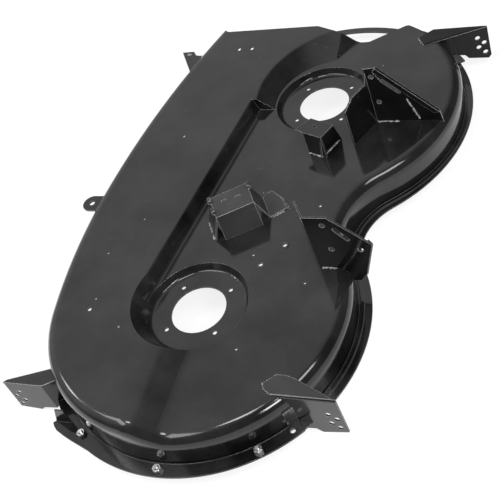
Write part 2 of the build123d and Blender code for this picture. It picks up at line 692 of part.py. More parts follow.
def hanger(x, profile, holes, slot_points, wing_profile, wing_deg, turn):
    """Upright hanger plate across the deck with a wing bent towards its twin."""
    plate = Pos(x, 0, 0) * extrude(Plane.YZ * make_face(Polyline(*profile, close=True)), bracket_sheet)
    plate = plate - side_holes(holes, hanger_hole_r) - side_slot(slot_points, hanger_slot_width)
    angle = wing_deg if turn > 0 else 180 - wing_deg
    wing_dir = Vector(cos(radians(angle)), sin(radians(angle)), 0)
    start_x = x if turn > 0 else x + bracket_sheet
    wing_start = (start_x, profile[0][0], 0)
    wing_plane = Plane(origin=wing_start, x_dir=wing_dir, z_dir=wing_dir.cross(Vector(0, 0, 1)))
    wing = extrude(wing_plane * make_face(Polyline(*wing_profile, close=True)), turn * bracket_sheet)
    return plate + wing


rear_hanger_left = hanger(
    hanger_left_x, hanger_left_profile, hanger_left_holes, hanger_left_slot, hanger_left_wing,
    hanger_left_wing_deg, 1)
lip_top = Vector(hanger_left_x, *hanger_left_profile[3])
lip_low = Vector(hanger_left_x, *hanger_left_profile[4])
lip_outward = (lip_low - lip_top).normalized().cross(Vector(1, 0, 0)) * -1
lip = Vector(hanger_left_lip_out, 0, 0) + lip_outward * hanger_left_lip_back
lip_into = (lip_low - lip_top).cross(lip).normalized()
lip_into = lip_into * (bracket_sheet if lip_into.X > 0 else -bracket_sheet)
rear_hanger_left += plate_between(lip_top, lip_low, lip_low + lip, lip_top + lip, lip_into)
rear_hanger_left -= shell_body
rear_hanger_right = hanger(
    hanger_right_x, hanger_right_profile, hanger_right_holes, hanger_right_slot, hanger_right_wing,
    hanger_right_wing_deg, -1)
hem_face = make_face(Polyline(*hanger_right_hem, close=True))
rear_hanger_right += Pos(hanger_right_x, 0, 0) * extrude(Plane.YZ * hem_face, -bracket_sheet)
rear_hanger_right -= shell_body

pieces = {
    "shell": shell,
    "discharge_hoop": hoop,
    "skirt_strip": strip,
    "skirt_bolts": skirt_bolts,
    "skirt_nuts": skirt_nuts,
    "front_left_bracket": front_left_bracket,
    "rear_left_bracket": rear_left_bracket,
    "rear_right_bracket": rear_right_bracket,
    "front_hanger_tab": front_hanger_tab,
    "front_slot_tab": front_slot_tab,
    "belt_guard_bracket": belt_guard_bracket,
    "spindle_side_bracket": spindle_side_bracket,
    "rear_hanger_left": rear_hanger_left,
    "rear_hanger_right": rear_hanger_right,
}
os.makedirs("parts", exist_ok=True)
for name, piece in pieces.items():
    export_step(piece, f"parts/{name}.step")
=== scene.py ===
import logging
from dataclasses import dataclass
from enum import Enum
from math import cos, pi, radians, sin

import bmesh
import bpy
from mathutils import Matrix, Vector


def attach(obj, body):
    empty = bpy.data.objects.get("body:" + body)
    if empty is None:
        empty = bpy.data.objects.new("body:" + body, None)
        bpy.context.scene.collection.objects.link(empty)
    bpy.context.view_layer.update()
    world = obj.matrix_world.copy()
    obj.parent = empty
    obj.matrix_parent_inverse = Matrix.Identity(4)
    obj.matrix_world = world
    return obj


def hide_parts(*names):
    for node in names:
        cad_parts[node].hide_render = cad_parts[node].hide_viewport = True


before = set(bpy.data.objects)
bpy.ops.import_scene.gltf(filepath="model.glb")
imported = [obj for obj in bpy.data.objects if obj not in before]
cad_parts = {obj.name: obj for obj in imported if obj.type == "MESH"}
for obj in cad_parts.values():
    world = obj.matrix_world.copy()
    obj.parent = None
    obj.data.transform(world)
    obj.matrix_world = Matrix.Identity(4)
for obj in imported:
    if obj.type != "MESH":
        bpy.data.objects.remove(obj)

LOG = logging.getLogger("mower_deck")
MM = 0.001
NODE_COLUMNS = 9
NODE_CELL = (220, -260)
Point = tuple[float, float, float]
Ring = tuple[float, float]
Colour = tuple[float, float, float, float]


def grey(level: float, blue: float | None = None) -> Colour:
    """Opaque grey of one level, with its blue a little off where it is given."""
    return (level, level, level if blue is None else blue, 1.0)


def between(start: float, end: float, part: float) -> float:
    """Value that lies a part of the way from start to end."""
    return start + (end - start) * part


# Node helpers


@dataclass
class NodeTree:
    """Thin wrapper that places and joins nodes in a tree."""

    tree: bpy.types.NodeTree

    def add(
            self, kind: str, values: dict[str | int, object] | None = None,
            **settings: object) -> bpy.types.Node:
        """Adds a node.

        Args:
            kind: the node's type name.
            values: input socket to its value.
            **settings: properties to set on the node.

        Returns:
            The new node.
        """
        node = self.tree.nodes.new(kind)
        for key, value in settings.items():
            setattr(node, key, value)
        for socket, value in (values or {}).items():
            node.inputs[socket].default_value = value
        down, across = divmod(len(self.tree.nodes), NODE_COLUMNS)
        node.location = (NODE_CELL[0] * across, NODE_CELL[1] * down)
        return node

    def join(self, start: bpy.types.NodeSocket, end: bpy.types.NodeSocket) -> None:
        """Links an output socket to an input socket."""
        self.tree.links.new(start, end)

    def blend(
            self, share: bpy.types.NodeSocket, under: Colour | bpy.types.NodeSocket,
            over: Colour) -> bpy.types.NodeSocket:
        """Mixes two colours.

        Args:
            share: how much of the upper colour shows.
            under: the lower colour, or the socket that gives it.
            over: the upper colour.

        Returns:
            The socket of the mixed colour.
        """
        node = self.add("ShaderNodeMix", data_type="RGBA")
        self.join(share, node.inputs["Factor"])
        if isinstance(under, bpy.types.NodeSocket):
            self.join(under, node.inputs["A"])
        else:
            node.inputs["A"].default_value = under
        node.inputs["B"].default_value = over
        return node.outputs["Result"]


def new_group(
        name: str, kind: str, inputs: dict[str, tuple[str, float | None]],
        outputs: dict[str, str]) -> NodeTree:
    """Makes a node group with named sockets.

    Args:
        name: the group's name.
        kind: ShaderNodeTree or GeometryNodeTree.
        inputs: socket name to its type and its default, if it takes one.
        outputs: socket name to its type.

    Returns:
        The wrapped, empty group.
    """
    tree = bpy.data.node_groups.new(name, kind)
    for label, (socket_type, default) in inputs.items():
        socket = tree.interface.new_socket(label, in_out="INPUT", socket_type=socket_type)
        if default is not None:
            socket.default_value = default
    for label, socket_type in outputs.items():
        tree.interface.new_socket(label, in_out="OUTPUT", socket_type=socket_type)
    return NodeTree(tree)


# Shader effects shared by the finishes


def gloss_skin_group() -> bpy.types.NodeTree:
    """Shared effect: the slight unevenness of a dipped or sprayed gloss coat.

    Returns:
        A group with a tone, a roughness and a height that vary over the surface.
    """
    wrap = new_group(
        "gloss_coat_skin", "ShaderNodeTree",
        {
            "Ripple Scale": ("NodeSocketFloat", 220.0), "Cloud Scale": ("NodeSocketFloat", 9.0),
            "Base Roughness": ("NodeSocketFloat", 0.1), "Roughness Spread": ("NodeSocketFloat", 0.08),
        },
        {"Tone": "NodeSocketFloat", "Roughness": "NodeSocketFloat", "Height": "NodeSocketFloat"})
    start = wrap.add("NodeGroupInput")
    end = wrap.add("NodeGroupOutput")
    where = wrap.add("ShaderNodeTexCoord")
    ripple = wrap.add("ShaderNodeTexNoise", {"Detail": 2.0}, noise_dimensions="3D")
    cloud = wrap.add("ShaderNodeTexNoise", {"Detail": 6.0, "Roughness": 0.62}, noise_dimensions="3D")
    wrap.join(where.outputs["Object"], ripple.inputs["Vector"])
    wrap.join(where.outputs["Object"], cloud.inputs["Vector"])
    wrap.join(start.outputs["Ripple Scale"], ripple.inputs["Scale"])
    wrap.join(start.outputs["Cloud Scale"], cloud.inputs["Scale"])
    spread = wrap.add("ShaderNodeMath", operation="MULTIPLY")
    wrap.join(cloud.outputs["Fac"], spread.inputs[0])
    wrap.join(start.outputs["Roughness Spread"], spread.inputs[1])
    total = wrap.add("ShaderNodeMath", operation="ADD")
    wrap.join(spread.outputs[0], total.inputs[0])
    wrap.join(start.outputs["Base Roughness"], total.inputs[1])
    contrast = wrap.add("ShaderNodeMapRange", {"From Min": 0.36, "From Max": 0.64})
    wrap.join(cloud.outputs["Fac"], contrast.inputs["Value"])
    wrap.join(contrast.outputs["Result"], end.inputs["Tone"])
    wrap.join(total.outputs[0], end.inputs["Roughness"])
    wrap.join(ripple.outputs["Fac"], end.inputs["Height"])
    return wrap.tree


def scuff_group() -> bpy.types.NodeTree:
    """Shared effect: sparse fine scuffs and dust specks.

    Returns:
        A group with a mask that is 1 in a speck or scuff and 0 elsewhere.
    """
    wrap = new_group(
        "fine_scuffs", "ShaderNodeTree",
        {"Scale": ("NodeSocketFloat", 60.0), "Amount": ("NodeSocketFloat", 0.3)},
        {"Mask": "NodeSocketFloat"})
    start = wrap.add("NodeGroupInput")
    end = wrap.add("NodeGroupOutput")
    where = wrap.add("ShaderNodeTexCoord")
    stretch = wrap.add(
        "ShaderNodeMapping", {"Rotation": (0.0, 0.0, radians(24)), "Scale": (1.0, 0.28, 1.0)})
    specks = wrap.add("ShaderNodeTexVoronoi", feature="F1", distance="EUCLIDEAN")
    patches = wrap.add("ShaderNodeTexNoise", {"Scale": 5.0, "Detail": 4.0}, noise_dimensions="3D")
    wrap.join(where.outputs["Object"], stretch.inputs["Vector"])
    wrap.join(stretch.outputs["Vector"], specks.inputs["Vector"])
    wrap.join(where.outputs["Object"], patches.inputs["Vector"])
    wrap.join(start.outputs["Scale"], specks.inputs["Scale"])
    near = wrap.add("ShaderNodeMapRange", {"From Min": 0.16, "From Max": 0.05})
    wrap.join(specks.outputs["Distance"], near.inputs["Value"])
    some = wrap.add("ShaderNodeMapRange", {"From Min": 0.52, "From Max": 0.72})
    wrap.join(patches.outputs["Fac"], some.inputs["Value"])
    both = wrap.add("ShaderNodeMath", operation="MULTIPLY")
    wrap.join(near.outputs["Result"], both.inputs[0])
    wrap.join(some.outputs["Result"], both.inputs[1])
    much = wrap.add("ShaderNodeMath", operation="MULTIPLY")
    wrap.join(both.outputs[0], much.inputs[0])
    wrap.join(start.outputs["Amount"], much.inputs[1])
    wrap.join(much.outputs[0], end.inputs["Mask"])
    return wrap.tree


def edge_highlight_group() -> bpy.types.NodeTree:
    """Shared effect: folds and cut edges that look rounded, with a painted highlight along them.

    Returns:
        A group with a mask for the painted edge highlight, 1 on an edge, and the normal of the rounded
        edge.
    """
    wrap = new_group(
        "rounded_edges_painted_highlight", "ShaderNodeTree",
        {"Radius": ("NodeSocketFloat", 0.0012)},
        {"Mask": "NodeSocketFloat", "Normal": "NodeSocketVector"})
    start = wrap.add("NodeGroupInput")
    end = wrap.add("NodeGroupOutput")
    rounded = wrap.add("ShaderNodeBevel", samples=8)
    surface = wrap.add("ShaderNodeNewGeometry")
    likeness = wrap.add("ShaderNodeVectorMath", operation="DOT_PRODUCT")
    turned = wrap.add("ShaderNodeMapRange", {"From Min": 0.985, "From Max": 0.86})
    wrap.join(start.outputs["Radius"], rounded.inputs["Radius"])
    wrap.join(rounded.outputs["Normal"], likeness.inputs[0])
    wrap.join(surface.outputs["Normal"], likeness.inputs[1])
    wrap.join(likeness.outputs["Value"], turned.inputs["Value"])
    wrap.join(turned.outputs["Result"], end.inputs["Mask"])
    wrap.join(rounded.outputs["Normal"], end.inputs["Normal"])
    return wrap.tree


@dataclass(frozen=True)
class Effects:
    """Shader groups that the finishes share."""

    skin: bpy.types.NodeTree
    scuffs: bpy.types.NodeTree
    edge_glint: bpy.types.NodeTree


# Finishes


@dataclass(frozen=True)
class GlossBlack:
    """Gloss black coat over pressed steel."""

    name: str
    dark: Colour = grey(0.005, 0.0053)
    light: Colour = grey(0.019, 0.0195)
    dust: Colour = grey(0.06, 0.058)
    roughness: float = 0.07
    spread: float = 0.07
    ripple_height: float = 0.00003
    ripple_strength: float = 0.5
    scuffs: float = 0.35
    ior: float = 1.46
    cloud_scale: float = 9.0
    edge_mm: float = 1.2
    # Painted highlight: the lighter tone laid along folds and cut edges.
    edge_highlight_tone: Colour = grey(0.1, 0.098)

    def build(self, effects: Effects) -> bpy.types.Material:
        """Builds the material.

        Args:
            effects: the shared shader groups.

        Returns:
            The finished material.
        """
        material = bpy.data.materials.new(self.name)
        material.use_nodes = True
        wrap = NodeTree(material.node_tree)
        shader = material.node_tree.nodes["Principled BSDF"]
        shader.inputs["IOR"].default_value = self.ior
        coat = wrap.add(
            "ShaderNodeGroup",
            {
                "Base Roughness": self.roughness, "Roughness Spread": self.spread,
                "Cloud Scale": self.cloud_scale,
            },
            node_tree=effects.skin)
        marks = wrap.add("ShaderNodeGroup", {"Amount": self.scuffs}, node_tree=effects.scuffs)
        edge = wrap.add("ShaderNodeGroup", {"Radius": self.edge_mm * MM}, node_tree=effects.edge_glint)
        clean = wrap.blend(coat.outputs["Tone"], self.dark, self.light)
        dusted = wrap.blend(marks.outputs["Mask"], clean, self.dust)
        # Painted highlight: edges take a lighter base colour that stands in for glints on their rounding.
        highlighted = wrap.blend(edge.outputs["Mask"], dusted, self.edge_highlight_tone)
        wrap.join(highlighted, shader.inputs["Base Color"])
        rough = wrap.add("ShaderNodeMath", operation="ADD")
        wrap.join(coat.outputs["Roughness"], rough.inputs[0])
        wrap.join(marks.outputs["Mask"], rough.inputs[1])
        wrap.join(rough.outputs[0], shader.inputs["Roughness"])
        bump = wrap.add(
            "ShaderNodeBump", {"Distance": self.ripple_height, "Strength": self.ripple_strength})
        wrap.join(coat.outputs["Height"], bump.inputs["Height"])
        wrap.join(edge.outputs["Normal"], bump.inputs["Normal"])
        wrap.join(bump.outputs["Normal"], shader.inputs["Normal"])
        return material


class Coat(Enum):
    """Black coats of the deck's pieces, each with its own sheen and a painted edge highlight; some are lit
    or shaded copies of the one paint.
    """

    DECK = GlossBlack("gloss_black_paint")
    # Darker base than the deck's same paint: painted shade on plates that mirror dark surroundings; its
    # edge tone is a painted highlight.
    BRACKET = GlossBlack(
        "bracket_paint", dark=grey(0.003), light=grey(0.01), edge_highlight_tone=grey(0.34, 0.335))
    # Lighter base than the deck's same paint: painted light on the bracket's front wall; its edge tone is a
    # painted highlight.
    GUARD = GlossBlack(
        "guard_bracket_lit_paint", ior=1.3, dark=grey(0.028), light=grey(0.05), roughness=0.22,
        edge_highlight_tone=grey(0.6, 0.59))
    # Its edge tone is a painted highlight along the fold and cut edges.
    WHEEL_PLATE = GlossBlack("wheel_plate_paint", ior=1.56, roughness=0.12, edge_highlight_tone=grey(0.3, 0.295))
    # Darker base than the deck's same paint: painted shade, as the plate mirrors dark surroundings; its
    # edge tone is a painted highlight.
    FAR_PLATE = GlossBlack(
        "far_plate_shaded_paint", ior=1.28, dark=grey(0.003), light=grey(0.008), edge_highlight_tone=grey(0.2, 0.198))
    # Wide edge tone: painted highlight along the broad fold.
    FRONT_PLATE = GlossBlack("front_plate_paint", roughness=0.14, edge_mm=2.4, edge_highlight_tone=grey(0.4, 0.396))
    # The bright speckled tone is painted glints on the bead drops.
    WELD = GlossBlack(
        "weld_bead_glint_paint", dark=grey(0.006), light=grey(0.5, 0.49), roughness=0.2, ior=1.6,
        cloud_scale=260.0, edge_mm=0.2)


@dataclass(frozen=True)
class PlatedSteel:
    """Bright zinc-plated steel of the nuts and bolts."""

    name: str
    bright: Colour = grey(0.78, 0.76)
    dull: Colour = grey(0.42, 0.41)
    roughness: float = 0.22
    spread: float = 0.2
    cloud_scale: float = 180.0
    ripple_scale: float = 900.0
    ripple_height: float = 0.00004

    def build(self, effects: Effects) -> bpy.types.Material:
        """Builds the material.

        Args:
            effects: the shared shader groups.

        Returns:
            The finished material.
        """
        material = bpy.data.materials.new(self.name)
        material.use_nodes = True
        wrap = NodeTree(material.node_tree)
        shader = material.node_tree.nodes["Principled BSDF"]
        shader.inputs["Metallic"].default_value = 1.0
        coat = wrap.add(
            "ShaderNodeGroup",
            {
                "Cloud Scale": self.cloud_scale, "Ripple Scale": self.ripple_scale,
                "Base Roughness": self.roughness, "Roughness Spread": self.spread,
            },
            node_tree=effects.skin)
        tone = wrap.blend(coat.outputs["Tone"], self.dull, self.bright)
        wrap.join(tone, shader.inputs["Base Color"])
        wrap.join(coat.outputs["Roughness"], shader.inputs["Roughness"])
        bump = wrap.add("ShaderNodeBump", {"Distance": self.ripple_height})
        wrap.join(coat.outputs["Height"], bump.inputs["Height"])
        wrap.join(bump.outputs["Normal"], shader.inputs["Normal"])
        return material


# Mesh helpers


def link_new(name: str, mesh: bpy.types.Mesh) -> bpy.types.Object:
    """Makes an object of a mesh and puts it in the scene.

    Args:
        name: the object's name.
        mesh: its mesh.

    Returns:
        The object.
    """
    obj = bpy.data.objects.new(name, mesh)
    bpy.context.scene.collection.objects.link(obj)
    return obj


def settle(obj: bpy.types.Object) -> None:
    """Turns an object's modifiers into plain mesh.

    Args:
        obj: the object, with its modifiers on.
    """
    graph = bpy.context.evaluated_depsgraph_get()
    mesh = bpy.data.meshes.new_from_object(
        obj.evaluated_get(graph), preserve_all_data_layers=True, depsgraph=graph)
    obj.modifiers.clear()
    obj.data = mesh


def smooth_shade(obj: bpy.types.Object, sharp_deg: float, flat_face_lead: int = 60) -> None:
    """Shades a piece smooth, with flat faces kept flat, and settles it.

    Args:
        obj: the piece.
        sharp_deg: edges turning more than this stay crisp.
        flat_face_lead: how far large faces lead the normals, 50 being neutral.
    """
    mesh = obj.data
    mesh.polygons.foreach_set("use_smooth", [True] * len(mesh.polygons))
    mesh.set_sharp_from_angle(angle=radians(sharp_deg))
    weighted = obj.modifiers.new("flat_faces_lead", "WEIGHTED_NORMAL")
    weighted.keep_sharp = True
    weighted.weight = flat_face_lead
    settle(obj)


def line_mesh(name: str, paths: list[list[Point]]) -> bpy.types.Object:
    """Makes an object of separate open lines, or of loose points.

    Args:
        name: the object's name.
        paths: for each line, its points in millimetres.

    Returns:
        The object, in the scene.
    """
    points = []
    edges = []
    for path in paths:
        first = len(points)
        points += [tuple(v * MM for v in point) for point in path]
        edges += [(first + k, first + k + 1) for k in range(len(path) - 1)]
    mesh = bpy.data.meshes.new(name)
    mesh.from_pydata(points, edges, [])
    return link_new(name, mesh)


def turned_piece(name: str, rings: list[Ring], flats_mm: float, steps: int = 72) -> bpy.types.Object:
    """Turns a profile about Z and keeps it inside a hexagon.

    Args:
        name: the object's name.
        rings: radius and height of each ring, in millimetres.
        flats_mm: width across the hexagon's flats.
        steps: faces in one full turn.

    Returns:
        The object, in the scene.
    """
    sixth = pi / 3
    same_place = 1e-6
    work = bmesh.new()
    loops = []
    for radius, height in rings:
        loop = []
        for step in range(steps):
            angle = 2 * pi * step / steps
            lean = (angle + sixth / 2) % sixth - sixth / 2
            reach = min(radius, flats_mm / 2 / cos(lean)) * MM
            loop.append(work.verts.new((reach * cos(angle), reach * sin(angle), height * MM)))
        loops.append(loop)
    for low, high in zip(loops, loops[1:]):
        for step in range(steps):
            after = (step + 1) % steps
            work.faces.new((low[step], low[after], high[after], high[step]))
    bmesh.ops.remove_doubles(work, verts=work.verts, dist=same_place)
    bmesh.ops.recalc_face_normals(work, faces=work.faces)
    mesh = bpy.data.meshes.new(name)
    work.to_mesh(mesh)
    work.free()
    return link_new(name, mesh)


# The deck


@dataclass
class SheetWork:
    """A sheet piece of the deck, made from its CAD node with its finish on."""

    node: str
    label: str
    coat: Coat = Coat.BRACKET

    def build(self, finishes: dict[Coat, bpy.types.Material]) -> bpy.types.Object:
        """Builds the piece and puts it in place of its CAD node.

        The copy keeps the exact normals that the CAD node came with.

        Args:
            finishes: each coat's material.

        Returns:
            The finished piece.
        """
        piece = link_new(self.label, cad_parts[self.node].data.copy())
        piece.data.materials.clear()
        piece.data.materials.append(finishes[self.coat])
        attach(piece, "root")
        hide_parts(self.node)
        return piece


SHEET_WORK = (
    SheetWork("shell", "deck_pressing", Coat.DECK),
    SheetWork("discharge_hoop", "discharge_bar", Coat.DECK),
    SheetWork("skirt_strip", "skirt_band", Coat.DECK),
    SheetWork("front_left_bracket", "front_left_wheel_plate", Coat.FRONT_PLATE),
    SheetWork("rear_left_bracket", "rear_left_wheel_plate", Coat.WHEEL_PLATE),
    SheetWork("rear_right_bracket", "rear_right_wheel_plate", Coat.FAR_PLATE),
    SheetWork("front_hanger_tab", "front_round_tab"),
    SheetWork("front_slot_tab", "front_slotted_tab"),
    SheetWork("belt_guard_bracket", "belt_guard_bridge", Coat.GUARD),
    SheetWork("spindle_side_bracket", "spindle_angle_plate"),
    SheetWork("rear_hanger_left", "rear_hanger_plate_left"),
    SheetWork("rear_hanger_right", "rear_hanger_plate_right"),
)


@dataclass
class ChannelFlank:
    """Drawn flank that joins the channel's far end to the low plate.

    Its crest follows the end of the channel and its foot lies on the low plate.
    """

    label: str
    crest: tuple[Point, ...] = ((590.0, -88.5, 13.5), (620.0, -88.5, 26.1), (641.0, -85.4, 35.8))
    foot: tuple[Point, ...] = ((590.0, -92.5, 11.9), (619.5, -113.0, 11.9), (637.2, -128.5, 11.9))
    rows: int = 14
    sheet_mm: float = 2.2
    crisp_deg: float = 40.0

    def points(self) -> list[Point]:
        """Lays out the upper face, which runs level at the crest and at the foot.

        Returns:
            For each point of the crest, the points in metres from there down to the foot.
        """
        points = []
        for top, low in zip(self.crest, self.foot):
            for row in range(self.rows + 1):
                part = row / self.rows
                ease = part * part * (3 - 2 * part)
                points.append((
                    between(top[0], low[0], part) * MM, between(top[1], low[1], part) * MM,
                    between(top[2], low[2], ease) * MM))
        return points

    def build(self, finishes: dict[Coat, bpy.types.Material]) -> bpy.types.Object:
        """Builds the flank as a closed sheet.

        Args:
            finishes: each coat's material.

        Returns:
            The finished piece.
        """
        width = self.rows + 1
        faces = [
            (k * width + row, k * width + row + 1, (k + 1) * width + row + 1, (k + 1) * width + row)
            for k in range(len(self.crest) - 1) for row in range(self.rows)]
        mesh = bpy.data.meshes.new(self.label)
        mesh.from_pydata(self.points(), [], faces)
        if mesh.polygons[0].normal.z < 0:
            mesh.flip_normals()
        piece = link_new(self.label, mesh)
        thick = piece.modifiers.new("sheet", "SOLIDIFY")
        thick.thickness = self.sheet_mm * MM
        thick.offset = -1.0
        settle(piece)
        smooth_shade(piece, self.crisp_deg)
        piece.data.materials.append(finishes[Coat.DECK])
        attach(piece, "root")
        return piece


# Repeated things, built with Geometry Nodes


def add_tree_modifier(obj: bpy.types.Object, tree: bpy.types.NodeTree, values: dict[str, object]) -> None:
    """Puts a Geometry Nodes tree on an object and sets its named inputs.

    Args:
        obj: the object that carries the tree.
        tree: the tree.
        values: input name to value.
    """
    modifier = obj.modifiers.new(tree.name, "NODES")
    modifier.node_group = tree
    for item in tree.interface.items_tree:
        if item.item_type == "SOCKET" and item.in_out == "INPUT" and item.name in values:
            modifier[item.identifier] = values[item.name]


def add_random_vector(wrap: NodeTree, least: Point, most: Point) -> bpy.types.Node:
    """Adds a node that draws a vector between two limits.

    Args:
        wrap: the tree that it goes in.
        least: the lower limit of each part.
        most: the upper limit of each part.

    Returns:
        The new node.
    """
    return wrap.add("FunctionNodeRandomValue", {0: least, 1: most}, data_type="FLOAT_VECTOR")


def weld_group() -> bpy.types.NodeTree:
    """Weld bead: flattened overlapping drops along the edges of a line mesh.

    Returns:
        The Geometry Nodes tree.
    """
    wrap = new_group(
        "weld_bead", "GeometryNodeTree",
        {
            "Geometry": ("NodeSocketGeometry", None), "Spacing": ("NodeSocketFloat", 0.0016),
            "Radius": ("NodeSocketFloat", 0.0022), "Seed": ("NodeSocketInt", 5),
            "Material": ("NodeSocketMaterial", None),
        },
        {"Geometry": "NodeSocketGeometry"})
    start = wrap.add("NodeGroupInput")
    end = wrap.add("NodeGroupOutput")
    curve = wrap.add("GeometryNodeMeshToCurve")
    points = wrap.add("GeometryNodeCurveToPoints", mode="LENGTH")
    turn = wrap.add("FunctionNodeAlignRotationToVector", axis="X")
    drop = wrap.add("GeometryNodeMeshIcoSphere", {"Radius": 1.0, "Subdivisions": 3})
    vary = add_random_vector(wrap, (0.55, 0.6, 0.5), (1.1, 1.3, 0.95))
    stray = add_random_vector(wrap, (-0.0006, -0.0006, -0.0003), (0.0006, 0.0006, 0.0003))
    moved = wrap.add("GeometryNodeSetPosition")
    size = wrap.add("ShaderNodeVectorMath", operation="SCALE")
    place = wrap.add("GeometryNodeInstanceOnPoints")
    real = wrap.add("GeometryNodeRealizeInstances")
    smooth = wrap.add("GeometryNodeSetShadeSmooth")
    finish = wrap.add("GeometryNodeSetMaterial")
    wrap.join(start.outputs["Geometry"], curve.inputs["Mesh"])
    wrap.join(curve.outputs["Curve"], points.inputs["Curve"])
    wrap.join(start.outputs["Spacing"], points.inputs["Length"])
    wrap.join(points.outputs["Tangent"], turn.inputs["Vector"])
    wrap.join(start.outputs["Seed"], stray.inputs["Seed"])
    wrap.join(points.outputs["Points"], moved.inputs["Geometry"])
    wrap.join(stray.outputs[0], moved.inputs["Offset"])
    wrap.join(moved.outputs["Geometry"], place.inputs["Points"])
    wrap.join(drop.outputs["Mesh"], place.inputs["Instance"])
    wrap.join(turn.outputs["Rotation"], place.inputs["Rotation"])
    wrap.join(start.outputs["Seed"], vary.inputs["Seed"])
    wrap.join(vary.outputs[0], size.inputs[0])
    wrap.join(start.outputs["Radius"], size.inputs["Scale"])
    wrap.join(size.outputs["Vector"], place.inputs["Scale"])
    wrap.join(place.outputs["Instances"], real.inputs["Geometry"])
    wrap.join(real.outputs["Geometry"], smooth.inputs["Geometry"])
    wrap.join(smooth.outputs["Geometry"], finish.inputs["Geometry"])
    wrap.join(start.outputs["Material"], finish.inputs["Material"])
    wrap.join(finish.outputs["Geometry"], end.inputs["Geometry"])
    return wrap.tree


def fastener_group() -> bpy.types.NodeTree:
    """Fastener set: one turned piece put on each point, each turned by chance.

    Returns:
        The Geometry Nodes tree.
    """
    wrap = new_group(
        "fastener_set", "GeometryNodeTree",
        {
            "Geometry": ("NodeSocketGeometry", None), "Fastener": ("NodeSocketObject", None),
            "Seed": ("NodeSocketInt", 3), "Material": ("NodeSocketMaterial", None),
        },
        {"Geometry": "NodeSocketGeometry"})
    start = wrap.add("NodeGroupInput")
    end = wrap.add("NodeGroupOutput")
    source = wrap.add("GeometryNodeObjectInfo")
    vary = add_random_vector(wrap, (0.0, 0.0, 0.0), (0.0, 0.0, pi))
    turn = wrap.add("FunctionNodeEulerToRotation")
    place = wrap.add("GeometryNodeInstanceOnPoints")
    real = wrap.add("GeometryNodeRealizeInstances")
    finish = wrap.add("GeometryNodeSetMaterial")
    wrap.join(start.outputs["Fastener"], source.inputs["Object"])
    wrap.join(start.outputs["Seed"], vary.inputs["Seed"])
    wrap.join(vary.outputs[0], turn.inputs["Euler"])
    wrap.join(start.outputs["Geometry"], place.inputs["Points"])
    wrap.join(source.outputs["Geometry"], place.inputs["Instance"])
    wrap.join(turn.outputs["Rotation"], place.inputs["Rotation"])
    wrap.join(place.outputs["Instances"], real.inputs["Geometry"])
    wrap.join(real.outputs["Geometry"], finish.inputs["Geometry"])
    wrap.join(start.outputs["Material"], finish.inputs["Material"])
    wrap.join(finish.outputs["Geometry"], end.inputs["Geometry"])
    return wrap.tree


@dataclass(frozen=True)
class Weld:
    """Run of weld along a joint, as plan and height points in millimetres."""

    joint: str
    path: tuple[Point, ...]


@dataclass
class WeldSet:
    """All the weld beads of one size, with their drops a share of the radius apart."""

    label: str
    radius_mm: float
    seed: int
    welds: tuple[Weld, ...]
    step: float = 0.8

    def build(self, tree: bpy.types.NodeTree, finish: bpy.types.Material) -> bpy.types.Object:
        """Builds the beads.

        Args:
            tree: the weld bead tree.
            finish: the paint over the beads.

        Returns:
            The finished piece.
        """
        piece = line_mesh(self.label, [list(weld.path) for weld in self.welds])
        add_tree_modifier(
            piece, tree,
            {
                "Spacing": self.step * self.radius_mm * MM, "Radius": self.radius_mm * MM,
                "Seed": self.seed, "Material": finish,
            })
        settle(piece)
        LOG.info("%s: %s", self.label, "; ".join(weld.joint for weld in self.welds))
        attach(piece, "root")
        return piece


BEADS = (
    Weld("guard bracket to deck, right foot front", ((188.5, -77.0, 12.0), (202.0, -92.2, 12.0))),
    Weld("guard bracket to deck, left foot", ((137.0, 12.9, 12.4), (172.0, 34.9, 12.4))),
    Weld("side bracket to deck", ((339.0, -103.0, 12.4), (329.0, -128.5, 12.4))),
    Weld("side bracket to deck, rear", ((333.0, -131.6, 12.4), (369.0, -149.0, 12.4))),
    Weld("left hanger foot", ((84.4, -191.0, 12.6), (84.4, -209.0, 12.4), (85.2, -217.0, 9.8))),
    Weld("left hanger foot, inner face", ((88.8, -192.0, 12.6), (88.8, -213.0, 12.4))),
    Weld("right hanger foot", ((414.4, -210.0, 12.6), (414.4, -246.0, 12.4))),
    Weld("right hanger hem", ((414.0, -269.0, 62.0), (414.0, -284.0, 18.0))),
    Weld("front slot tab", ((552.0, 182.4, 35.6), (592.0, 184.0, 35.6))),
)
FINE_BEADS = (
    Weld("rear left cover", ((-152.8, -173.5, 12.9), (-142.6, -157.4, 12.9), (-134.8, -154.3, 12.9),
                             (-118.2, -171.6, 12.9), (-118.0, -186.0, 12.9), (-123.0, -203.0, 12.6))),
    Weld("rear right cover", ((617.0, -250.6, 12.9), (637.0, -238.2, 12.9), (657.5, -260.6, 12.6))),
    Weld("right hanger slot blob", ((414.4, -222.0, 121.0), (414.4, -229.0, 107.0))),
    Weld("front round tab", ((177.5, 249.0, 35.0), (211.5, 247.6, 35.0))),
)
SPATTER = (
    Weld("guard bracket foot pad", ((243.0, -44.0, 12.3), (247.0, -60.5, 12.3), (228.0, -84.0, 12.3),
                                    (207.5, -98.5, 12.3), (189.0, -78.0, 12.3))),
    Weld("guard bracket foot pad, outer row",
         ((249.0, -56.0, 12.2), (231.0, -83.0, 12.2), (208.0, -101.0, 12.2))),
)
WELD_SETS = (
    WeldSet("weld_beads", 1.7, 5, BEADS),
    WeldSet("fine_weld_beads", 1.0, 9, FINE_BEADS),
    WeldSet("weld_spatter", 0.8, 4, SPATTER, step=5.6),
)


